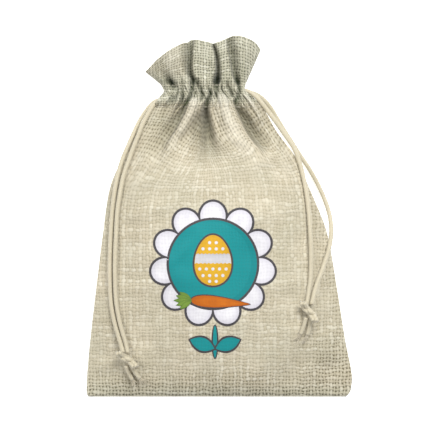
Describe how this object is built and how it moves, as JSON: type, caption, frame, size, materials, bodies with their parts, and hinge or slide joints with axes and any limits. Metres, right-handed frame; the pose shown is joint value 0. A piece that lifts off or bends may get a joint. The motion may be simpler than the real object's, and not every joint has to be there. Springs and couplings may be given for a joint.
{
  "type": "drawstring gift pouch",
  "caption": "Small coarse-woven cloth gift pouch lying on its back, mouth drawn shut by two opposed knotted cords under a gathered frill, with a plain flower print on the front.",
  "frame": {"origin": "centre of the pouch's own outline, on the surface that it lies on", "axes": "+Y from the bottom seam to the mouth, +X to the right when looking at the printed front, +Z out of the printed front"},
  "size_m": [0.1311, 0.1771, 0.0274],
  "materials": {
    "cloth": "coarse plain weave",
    "thread": "sewing thread",
    "cord": "smooth twisted cord",
    "print": "matt printing ink on cloth"
  },
  "bodies": {
    "root": {"front_panel": "cloth", "back_panel": "cloth", "left_seam_allowance": "cloth", "right_seam_allowance": "cloth", "bottom_seam_allowance": "cloth", "left_seam_thread": "thread", "right_seam_thread": "thread", "bottom_seam_thread": "thread", "front_casing": "cloth", "back_casing": "cloth", "front_upper_stitches": "thread", "front_lower_stitches": "thread", "back_upper_stitches": "thread", "back_lower_stitches": "thread", "left_bar_tacks": "thread", "right_bar_tacks": "thread", "back_frill": "cloth", "back_frill_hem": "cloth", "left_cord_run": "cord", "right_cord_run": "cord", "printed_motif": "print"},
    "left_cord": {"left_front_strand": "cord", "left_back_strand": "cord", "left_knot": "cord", "left_tails": "cord"},
    "right_cord": {"right_front_strand": "cord", "right_back_strand": "cord", "right_knot": "cord", "right_tails": "cord"},
    "front_frill": {"front_frill": "cloth", "front_frill_hem": "cloth"}
  },
  "joints": [
    {"name": "left_cord_pull", "type": "slide", "parent": "root", "child": "left_cord", "axis": [-1, 0, 0], "range_m": [0, 0.012]},
    {"name": "right_cord_pull", "type": "slide", "parent": "root", "child": "right_cord", "axis": [1, 0, 0], "range_m": [0, 0.012]},
    {"name": "frill_fold", "type": "hinge", "parent": "root", "child": "front_frill", "pos_m": [-0.0073, 0.0651, 0.0196], "axis": [1, 0, 0], "range_deg": [0, 60]}
  ]
}
